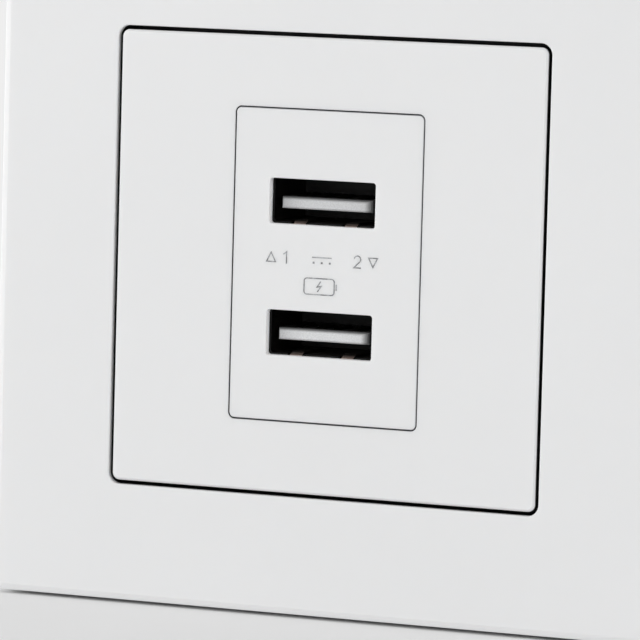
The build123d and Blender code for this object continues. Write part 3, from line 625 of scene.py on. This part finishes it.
CANS = (
    ("sleeved can", "input_capacitors", (0.012, 0.016, 0.03, 1.0), grey(0.55)),
    ("low voltage can", "output_capacitors", (0.02, 0.022, 0.02, 1.0), (0.45, 0.38, 0.2, 1.0)),
)
for name, cans, sleeve, stripe in CANS:
    dress(two_materials(name, sleeve_stripe(cans), sleeve, stripe, 0.4, SLEEVE_ROUGH, 0.5), cans)
BLUE_RESIN = (0.03, 0.11, 0.36, 1.0)
dipped = two_materials("dipped disc", disc_leads, BLUE_RESIN, TIN, 1.0, (0.22, 0.35), 0.9)
dress(dipped, "safety_capacitor")
print("capacitors dressed")

# %% [markdown]
# The fusible resistor has a green cement coat with four colour rings. The rings are laid over the
# two-material finish, one tint each, by their place along the body.

# %% Fusible resistor
RESISTOR_LEAD = 1.2 * MM
RING_HALF = 0.09
CEMENT = (0.10, 0.26, 0.18, 1.0)
RINGS = (
    (-0.62, (0.45, 0.02, 0.01, 1.0)),
    (-0.25, (0.02, 0.02, 0.02, 1.0)),
    (0.12, (0.10, 0.04, 0.015, 1.0)),
    (0.62, (0.60, 0.42, 0.12, 1.0)),
)


def ringed_resistor():
    """Green cement with four rings by place along X, on tinned leads."""
    middle, half = middle_of("fuse_resistor")
    body = half.x - RESISTOR_LEAD
    leads = outside_x(middle.x, body)
    material = two_materials("fusible resistor", leads, CEMENT, TIN, rough=(0.4, 0.35))
    tree = material.node_tree
    shader = tree.nodes["Principled BSDF"]
    colour = shader.inputs["Base Color"].links[0].from_socket
    for place, ring in RINGS:
        offset = sums(tree, "SUBTRACT", axes(tree)[0], middle.x + place * body)
        here = sums(tree, "LESS_THAN", sums(tree, "ABSOLUTE", offset), body * RING_HALF)
        colour = tint(tree, here, colour, ring)
    paint(tree, shader, base_color=colour)
    return material


dress(ringed_resistor(), "fuse_resistor")
print("resistor with", len(RINGS), "rings")

# %% [markdown]
# The transformer is a ferrite frame round a taped coil. Ferrite is a dull sintered ceramic with
# bright specks, and the tape shows the turns under it as ridges one wire apart.

# %% Transformer and choke core
TAPE_WAVE = 2.2 * MM
TAPE_SHADOW = (0.62, 0.40, 0.03, 1.0)
TAPE_YELLOW = (0.80, 0.58, 0.08, 1.0)


def ferrite():
    """Dark ceramic with specks and a sintered grain."""
    material, tree, shader = new_finish("ferrite", {"Specular IOR Level": 0.5})
    specks = step(tree, blotches(tree, 0.1, 1.0), 0.66, 0.74)
    colour = tint(tree, specks, grey(0.045), grey(0.16))
    relief(tree, shader, blotches(tree, 0.3, 4.0), 0.02)
    gloss = patches(tree, 1.0, 0.5, 0.7)
    paint(tree, shader, base_color=colour, roughness=gloss)
    return material


def winding_tape():
    """Yellow tape, ridged by the turns below and darker where its layers overlap."""
    material, tree, shader = new_finish("winding tape", {"Specular IOR Level": 0.5})
    spot = node(tree, "TexCoord", {})["Object"]
    wave = {"Vector": spot, "Scale": 1.0 / TAPE_WAVE, "Distortion": 0.3}
    turns = node(tree, "TexWave", wave, bands_direction="Z")[1]
    layers = blotches(tree, 2.5, 2.0, (4.0, 4.0, 1.0))
    relief(tree, shader, turns, 0.03)
    gloss = patches(tree, 1.5, 0.25, 0.38)
    colour = tint(tree, layers, TAPE_SHADOW, TAPE_YELLOW)
    paint(tree, shader, base_color=colour, roughness=gloss)
    return material


dress(ferrite(), "transformer_core", "filter_choke")
dress(winding_tape(), "transformer_winding")
print("transformer dressed")

# %% [markdown]
# New pieces are surfaces worked out as arrays. A grid of points becomes a mesh when each four
# neighbours are joined to a face, and a section that closes on itself wraps round. Several such
# shells may share one mesh, so a row of solder joints or a line of print is one object.

# %% From arrays to meshes
SHARP_ANGLE = math.radians(32)


def skin(points, closed_path=False):
    """Vertices and faces of a tube: rows follow a path, columns go round a closed section, and an
    open path has its two ends capped."""
    rows, columns, _ = points.shape
    index = np.arange(rows * columns).reshape(rows, columns)
    after = np.roll(index, -1, axis=1)
    if closed_path:
        corners = [index, after, np.roll(after, -1, axis=0), np.roll(index, -1, axis=0)]
        return points.reshape(-1, 3), np.stack(corners, axis=-1).reshape(-1, 4).tolist()
    quads = np.stack([index[:-1], after[:-1], after[1:], index[1:]], axis=-1)
    caps = [index[0, ::-1].tolist(), index[-1].tolist()]
    return points.reshape(-1, 3), quads.reshape(-1, 4).tolist() + caps


def new_piece(name, shells, finish, body):
    """One object from several shells, with smooth faces and sharp edges, riding on a body."""
    starts = np.cumsum([0] + [len(points) for points, _ in shells])
    points = np.concatenate([points for points, _ in shells])
    faces = [
        [int(start) + corner for corner in face]
        for start, (_, part) in zip(starts, shells)
        for face in part
    ]
    mesh = bpy.data.meshes.new(name)
    mesh.from_pydata(points.tolist(), [], faces)
    mesh.shade_smooth()
    mesh.set_sharp_from_angle(angle=SHARP_ANGLE)
    mesh.materials.append(finish)
    piece = bpy.data.objects.new(name, mesh)
    bpy.context.scene.collection.objects.link(piece)
    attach(piece, body)
    print(name, len(shells), "shells,", len(faces), "faces")
    return piece


print("array helpers ready")

# %% [markdown]
# Print is a film of ink and a raised letter is a ridge, but both are lines of even width. Text
# objects could give them, but their outlines are filled in one flat layer. Here each stroke is a
# low bar carried along a path, with its corners mitred, so it has a top, sides and a real height.

# %% Strokes
STROKE_SECTION = np.array([-0.5, -0.4, 0.4, 0.5])


def stroke(path, width, rise, closed=False):
    """Carries a trapezium section along a path in X and Z (mm): each point moves sideways along the
    mitre of its two neighbours, by half the width divided by the cosine of half the turn."""
    path = np.asarray(path, dtype=float)
    legs = np.roll(path, -1, axis=0) - path
    legs /= np.linalg.norm(legs, axis=1, keepdims=True)
    before = np.roll(legs, 1, axis=0)
    if not closed:
        legs[-1] = legs[-2]
        before[0] = legs[0]
    side = np.stack([-(legs + before)[:, 1], (legs + before)[:, 0]], axis=1)
    side /= np.linalg.norm(side, axis=1, keepdims=True)
    normal = np.stack([-legs[:, 1], legs[:, 0]], axis=1)
    side /= (side * normal).sum(axis=1, keepdims=True)
    across = STROKE_SECTION * width
    height = np.array([0.0, rise, rise, 0.0])
    flat = path[:, None, :] + side[:, None, :] * across[None, :, None]
    depth = np.broadcast_to(-height, flat.shape[:2])
    return skin(np.stack([flat[..., 0], depth, flat[..., 1]], axis=-1), closed)


def arc(x, z, radius, start, end, count=9):
    """Points on part of a circle, from one angle to another in degrees."""
    angle = np.radians(np.linspace(start, end, count))
    return np.stack([x + radius * np.cos(angle), z + radius * np.sin(angle)], axis=1)


def rounded_box(x, z, half_w, half_h, radius):
    """Outline of a rectangle whose corners are quarter circles."""
    corners = ((1, 1, 0), (-1, 1, 90), (-1, -1, 180), (1, -1, 270))
    quarters = [
        arc(x + sx * (half_w - radius), z + sz * (half_h - radius), radius, turn, turn + 90, 5)
        for sx, sz, turn in corners
    ]
    return np.concatenate(quarters)


def at_depth(shells, y):
    """Moves flat shells from the plane Y = 0 to a depth and from millimetres to metres."""
    return [(points * MM + np.array([0.0, y, 0.0]), faces) for points, faces in shells]


print("stroke helpers ready")

# %% [markdown]
# The charger's face carries small grey print between the ports. The signs here are plain ones: the
# ports are numbered 1 and 2, each number has an arrow to its port, a bar over three dots stands for
# direct current, and a battery with a bolt says what the ports are for. The signs are drawn in
# millimetres about their own middle, and the ink is thinner in spots.

# %% Print on the charger's face
INK_WIDTH = 0.13
INK_RISE = 0.02
DOT_RADIUS = 0.11
SIGN_MIDDLE = -0.5


def ink(path, closed=False):
    """A stroke of print."""
    return stroke(path, INK_WIDTH, INK_RISE, closed)


def dot(x, z):
    """A spot of ink: a stroke as wide as it is long."""
    return stroke([(x - DOT_RADIUS, z), (x + DOT_RADIUS, z)], 2 * DOT_RADIUS, INK_RISE)


def port_signs():
    """Two arrows with numbers, the sign for direct current, and the battery with its bolt."""
    x = SIGN_MIDDLE
    one = [(x - 4.75, 1.25), (x - 4.35, 1.55), (x - 4.35, 0.2)]
    bowl = arc(x + 4.35, 1.16, 0.4, 165, -35, 10)
    two = np.concatenate([bowl, [(x + 3.92, 0.2), (x + 4.8, 0.2)]])
    up = [(x - 6.8, 0.35), (x - 5.7, 0.35), (x - 6.25, 1.4)]
    down = [(x + 5.7, 1.4), (x + 6.8, 1.4), (x + 6.25, 0.35)]
    bar = [(x - 1.2, 1.1), (x + 1.2, 1.1)]
    battery = rounded_box(x - 0.25, -2.2, 1.85, 0.92, 0.35)
    knob = [(x + 1.85, -1.85), (x + 1.85, -2.55)]
    bolt = [(x - 0.05, -1.6), (x - 0.5, -2.25), (x, -2.15), (x - 0.45, -2.8)]
    shells = [ink(one), ink(two), ink(up, True), ink(down, True), ink(bar), ink(battery, True)]
    shells += [ink(knob), ink(bolt)]
    shells += [dot(x + offset, 0.5) for offset in (-1.0, 0.0, 1.0)]
    return at_depth(shells, FRONT)


def print_ink():
    """Grey ink, thinner and paler in spots."""
    material, tree, shader = new_finish("grey print", {"Specular IOR Level": 0.3})
    thin = step(tree, blotches(tree, 0.4), 0.35, 0.65)
    colour = tint(tree, thin, grey(0.17, -0.03), grey(0.42, -0.03))
    gloss = patches(tree, 0.3, 0.4, 0.55)
    paint(tree, shader, base_color=colour, roughness=gloss)
    return material


new_piece("port_signs", port_signs(), print_ink(), "socket")

# %% [markdown]
# The screws in the terminals are turned and rolled: a slotted head over a shank with a fine thread.
# The solid has a plain shank of the thread's outer size. Here the thread is a surface of two
# parameters, the angle and the distance along the screw, whose radius follows a ridge that climbs
# once per turn. The head is turned with the shank up to the floor of its slot, and two half moons
# stand beside the slot.

# %% Terminal screws
THREAD_PITCH = 0.5 * MM
THREAD_DEPTH = 0.28 * MM
THREAD_ROWS = 8
RIDGE_SLOPE = 2.4
SHANK_RADIUS = 1.5 * MM
TIP_TAPER = 0.3 * MM
HEAD_RADIUS = middle_of("line_terminal_screw")[1].x
HEAD_HEIGHT = 1.75 * MM
HEAD_EDGE = 0.3 * MM
SLOT_WIDTH = 0.8 * MM
SLOT_DEPTH = 0.9 * MM
ROUND = 48


def revolved(along, radius):
    """Turns a profile about Y: columns go round, rows go along, with a radius for each point."""
    angle = np.linspace(0.0, 2 * np.pi, ROUND, endpoint=False)
    y = np.broadcast_to(along[:, None], radius.shape)
    return np.stack([radius * np.sin(angle), y, radius * np.cos(angle)], axis=-1)


def screw_body(length):
    """Radius is the core plus a ridge that rises and falls linearly with along / pitch - angle /
    turn, cut to a cone at the tip; the underside and rim of the head end the profile."""
    shank_end = length - HEAD_HEIGHT
    along = np.linspace(0.0, shank_end, int(shank_end / THREAD_PITCH) * THREAD_ROWS + 1)
    turn = np.arange(ROUND) / ROUND
    phase = (along[:, None] / THREAD_PITCH - turn[None, :]) % 1.0
    ridge = np.clip(1.0 - np.abs(phase - 0.5) * RIDGE_SLOPE, 0.0, 1.0)
    tip = np.clip(along / (2 * THREAD_PITCH), 0.0, 1.0)[:, None]
    core = SHANK_RADIUS - THREAD_DEPTH
    shank = core + THREAD_DEPTH * ridge * tip - TIP_TAPER * (1.0 - tip)
    head = np.full((2, ROUND), HEAD_RADIUS)
    rows = np.concatenate([along, [shank_end, length - SLOT_DEPTH]])
    return revolved(rows, np.concatenate([shank, head]))


def half_moon(length, side):
    """The part of the head beside the slot: a row is the outline of a circle's segment at one
    height, the arc drawn in by the edge at the last height while the straight side stays on the
    slot."""
    level = np.array([length - SLOT_DEPTH, length - HEAD_EDGE, length])
    radius = np.array([HEAD_RADIUS, HEAD_RADIUS, HEAD_RADIUS - HEAD_EDGE])
    start = np.arcsin(SLOT_WIDTH / 2 / radius)
    share = np.linspace(0.0, 1.0, ROUND // 2 + 1)
    angle = start[:, None] + (np.pi - 2 * start)[:, None] * share[None, :]
    x = radius[:, None] * np.cos(angle)
    z = radius[:, None] * np.sin(angle)
    y = np.broadcast_to(level[:, None], x.shape)
    return np.stack([x * side, y, z * side], axis=-1)


def screw_shells(name):
    """A whole screw at its CAD place: body and two half moons."""
    lo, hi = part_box(name)
    place = np.array([(lo.x + hi.x) / 2, lo.y, (lo.z + hi.z) / 2])
    length = hi.y - lo.y
    grids = [screw_body(length), half_moon(length, 1.0), half_moon(length, -1.0)]
    return [skin(grid[:, ::-1] + place) for grid in grids]


for pole in ("line", "neutral"):
    cad_screw = f"{pole}_terminal_screw"
    shells = screw_shells(cad_screw)
    screw = new_piece(f"{pole}_threaded_screw", shells, ZINC, f"{pole}_screw")
    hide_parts(cad_screw)

# %% [markdown]
# The choke is a ferrite drum with one layer of enamelled copper. Each turn lies beside the last, so
# the wire's middle line is a helix with a pitch of one wire, and its round section is carried
# along it.

# %% Choke winding
WIRE_RADIUS = 0.16 * MM
WIRE_PITCH = 2.02 * WIRE_RADIUS
WIRE_ROUND = 8
TURN_ROWS = 28
DRUM_WAIST = 2.1 * MM
DRUM_CHEEK = 1.0 * MM


def helix_tube(middle, start, end, radius):
    """Points at middle + (radius + wire cos b) outwards + (climb + wire sin b) along Y, for the
    angle a along the helix and the angle b round the wire."""
    turns = (end - start) / WIRE_PITCH
    a = np.linspace(0.0, turns * 2 * np.pi, int(turns * TURN_ROWS))[:, None]
    b = np.linspace(0.0, 2 * np.pi, WIRE_ROUND, endpoint=False)[None, :]
    reach = radius + WIRE_RADIUS * np.cos(b)
    climb = start + (end - start) * a / a.max() + WIRE_RADIUS * np.sin(b)
    return np.stack([middle.x + reach * np.cos(a), climb, middle.z + reach * np.sin(a)], axis=-1)


def enamelled_copper():
    """Copper under brown enamel."""
    material, tree, shader = new_finish("enamelled copper", {"Metallic": 1.0})
    colour = tint(tree, blotches(tree, 1.0), (0.50, 0.16, 0.05, 1.0), (0.68, 0.27, 0.10, 1.0))
    gloss = patches(tree, 0.4, 0.2, 0.32)
    paint(tree, shader, base_color=colour, roughness=gloss)
    return material


drum_lo, drum_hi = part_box("filter_choke")
coil_start = drum_lo.y + DRUM_CHEEK + WIRE_RADIUS
coil_end = drum_hi.y - DRUM_CHEEK - WIRE_RADIUS
coil = helix_tube((drum_lo + drum_hi) / 2, coil_start, coil_end, DRUM_WAIST + WIRE_RADIUS)
new_piece("choke_winding", [skin(coil)], enamelled_copper(), "socket")

# %% [markdown]
# Solder climbs each pin and tail by its own surface tension, so a joint is a little hollow cone.
# Its radius falls from the pad to the pin with the cube of the height that is left, which gives the
# hollow side. A row of joints is one formula, called with each joint's middle.

# %% Solder joints
BOARD_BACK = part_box("port_board")[1].y
POWER_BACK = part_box("power_board")[1].y
TAIL_OFFSETS = (-3.5 * MM, -1.0 * MM, 1.0 * MM, 3.5 * MM)
PIN_OFFSETS = (-2.54 * MM, 0.0, 2.54 * MM)
HALF_SHEET = 0.15 * MM
TAIL_JOINT = (0.85 * MM, 0.5 * MM, 0.75 * MM)
LEG_JOINT = (1.2 * MM, 0.72 * MM, 0.75 * MM)
PIN_JOINT = (0.85 * MM, 0.46 * MM, 0.45 * MM)
JOINT_ROWS = 7
JOINT_ROUND = 20


def joint(x, z, y, pad, pin, rise):
    """A cone of revolution about Y whose radius is pin + (pad - pin) times (1 - height) cubed."""
    height = np.linspace(0.0, 1.0, JOINT_ROWS)
    angle = np.linspace(0.0, 2 * np.pi, JOINT_ROUND, endpoint=False)
    radius = (pin + (pad - pin) * (1.0 - height) ** 3)[:, None]
    level = np.broadcast_to((y + rise * height)[:, None], (JOINT_ROWS, JOINT_ROUND))
    cone = np.stack([x + radius * np.cos(angle), level, z + radius * np.sin(angle)], axis=-1)
    return skin(cone[:, ::-1])


def solder():
    """Bright tin with a slight frost."""
    material, tree, shader = new_finish("solder", {"Metallic": 1.0})
    colour = tint(tree, blotches(tree, 0.6), grey(0.58), grey(0.74))
    gloss = patches(tree, 0.3, 0.2, 0.4)
    relief(tree, shader, blotches(tree, 0.25), 0.008)
    paint(tree, shader, base_color=colour, roughness=gloss)
    return material


def board_joints():
    """Four contact tails and two shell legs of each port, and the pins between the boards."""
    joints = []
    for port in ("upper", "lower"):
        shell, half = middle_of(f"{port}_port_shell")
        tails, _ = middle_of(f"{port}_port_contacts")
        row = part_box(f"{port}_port_contacts")[0].z + HALF_SHEET
        reach = half.x - HALF_SHEET
        joints += [joint(tails.x + x, row, BOARD_BACK, *TAIL_JOINT) for x in TAIL_OFFSETS]
        joints += [joint(shell.x + x, shell.z, BOARD_BACK, *LEG_JOINT) for x in (-reach, reach)]
    pins, _ = middle_of("header_pins")
    joints += [joint(pins.x, pins.z + z, POWER_BACK, *PIN_JOINT) for z in PIN_OFFSETS]
    return joints


new_piece("solder_joints", board_joints(), solder(), "socket")

# %% [markdown]
# Beside each terminal the rear case has a raised letter, L for the live line and N for the neutral.
# They are strokes like the print, only wider and higher, and they face backwards.

# %% Terminal letters
LETTER_WIDTH = 0.5
LETTER_RISE = 0.3
LETTER_HALF = 0.75
LETTER_BASE = -8.9
LETTER_TOP = -6.5


def letters():
    """Strokes of both letters in millimetres, laid out as seen from behind, where +X is left."""
    line_x = middle_of("line_terminal_screw")[0].x / MM
    neutral_x = middle_of("neutral_terminal_screw")[0].x / MM
    left, right = line_x + LETTER_HALF, line_x - LETTER_HALF
    el = [(left, LETTER_TOP), (left, LETTER_BASE), (right, LETTER_BASE)]
    left, right = neutral_x + LETTER_HALF, neutral_x - LETTER_HALF
    en = [(left, LETTER_BASE), (left, LETTER_TOP), (right, LETTER_BASE), (right, LETTER_TOP)]
    shells = [stroke(path, LETTER_WIDTH, -LETTER_RISE) for path in (el, en)]
    turned = [(points, [face[::-1] for face in faces]) for points, faces in shells]
    return at_depth(turned, CAD_HI.y)


new_piece("terminal_letters", letters(), REAR_PLASTIC, "socket")

# %% [markdown]
# The studio is like a light tent: a pale floor just under the socket, a white surround, and soft
# lamps. Most of the light comes evenly from the surround, so the face has hardly any gradient. The
# camera, reflections and glass see a white of their own in its place, so the background can be pale
# without more light on the socket. The Light Path node tells the two apart.

# %% Surround
AMBIENT = 0.65
BACKDROP = 0.855


def background_rays(tree):
    """1 for rays that show the background: to the camera, in a reflection or through glass."""
    rays = node(tree, "LightPath", {})
    seen = sums(tree, "MAXIMUM", rays["Is Camera Ray"], rays["Is Glossy Ray"])
    return sums(tree, "MAXIMUM", seen, rays["Is Transmission Ray"])


def surround():
    """The backdrop's white to rays that show the background, and an even light to the rest."""
    world = bpy.data.worlds.new("studio")
    world.use_nodes = True
    tree = world.node_tree
    tree.nodes.clear()
    light = node(tree, "Background", {"Color": grey(1.0), "Strength": AMBIENT})[0]
    white = node(tree, "Background", {"Color": grey(1.0), "Strength": BACKDROP})[0]
    mixed = node(tree, "MixShader", {0: background_rays(tree), 1: light, 2: white})[0]
    node(tree, "OutputWorld", {"Surface": mixed})
    return world


bpy.context.scene.world = surround()
bpy.context.scene.view_settings.view_transform = "Standard"
print("surround sheds", AMBIENT)

# %% [markdown]
# The floor is a sheet of pale paper. Near the socket it is ordinary paper and takes the socket's
# shadow. Further out the same rays as before see the backdrop's white there, so no horizon shows. A
# curved paper sweep would hide the horizon too, but it would also throw its own light.

# %% Floor
FLOOR_LEVEL = CAD_LO.z - 0.45 * MM
FLOOR_REACH = 4.0
PAPER_WITHIN = 0.11
WHITE_FROM = 0.32


def floor_paper():
    """Pale paper near the socket that fades to the surround's white further out."""
    sockets = {"Roughness": 0.9, "Specular IOR Level": 0.1}
    material, tree, shader = new_finish("floor paper", sockets)
    x, y, _ = axes(tree)
    far = step(tree, distance(tree, x, y), PAPER_WITHIN, WHITE_FROM)
    relief(tree, shader, blotches(tree, 0.6), 0.01)
    paint(tree, shader, base_color=tint(tree, blotches(tree, 40.0), grey(0.83), grey(0.87)))
    white = node(tree, "Emission", {"Color": grey(1.0), "Strength": BACKDROP})[0]
    share = sums(tree, "MULTIPLY", far, background_rays(tree))
    mixed = node(tree, "MixShader", {0: share, 1: shader.outputs[0], 2: white})[0]
    tree.links.new(mixed, tree.nodes["Material Output"].inputs["Surface"])
    return material


def flat_sheet(level, reach, count=9):
    """A level square grid about the origin: X and Y run evenly from -reach to reach."""
    line = np.linspace(-reach, reach, count)
    x, y = np.meshgrid(line, line, indexing="ij")
    points = np.stack([x, y, np.full_like(x, level)], axis=-1)
    index = np.arange(count * count).reshape(count, count)
    corners = [index[:-1, :-1], index[1:, :-1], index[1:, 1:], index[:-1, 1:]]
    return points.reshape(-1, 3), np.stack(corners, axis=-1).reshape(-1, 4)


sheet_points, sheet_faces = flat_sheet(FLOOR_LEVEL, FLOOR_REACH)
floor_mesh = bpy.data.meshes.new("floor")
floor_mesh.from_pydata(sheet_points.tolist(), [], sheet_faces.tolist())
floor_mesh.materials.append(floor_paper())
floor = bpy.data.objects.new("floor", floor_mesh)
bpy.context.scene.collection.objects.link(floor)
print("floor at", round(FLOOR_LEVEL / MM, 2), "mm")

# %% [markdown]
# Three square lamps shape the light a little. The key is level on the left, so that the left bevel
# of the frame is the brightest edge, the fill on the right lights the walls of the openings, and
# the rear lamp keeps the back of the socket readable in the other views.

# %% Lamps
LAMPS = (
    ("key lamp", (-1.2, -0.7, 0.3), 0.6, 9.8),
    ("fill lamp", (1.3, -0.6, 0.3), 0.6, 4.8),
    ("rear lamp", (0.5, 1.0, 0.7), 0.9, 4.0),
)


def soft_lamp(name, place, side, watts):
    """A square lamp at a place in metres, aimed at the socket's middle."""
    lamp = bpy.data.objects.new(name, bpy.data.lights.new(name, "AREA"))
    lamp.data.size = side
    lamp.data.energy = watts
    lamp.location = place
    lamp.rotation_euler = (-Vector(place)).to_track_quat("-Z", "Y").to_euler()
    bpy.context.scene.collection.objects.link(lamp)


for lamp in LAMPS:
    soft_lamp(*lamp)
print(len(LAMPS), "lamps")
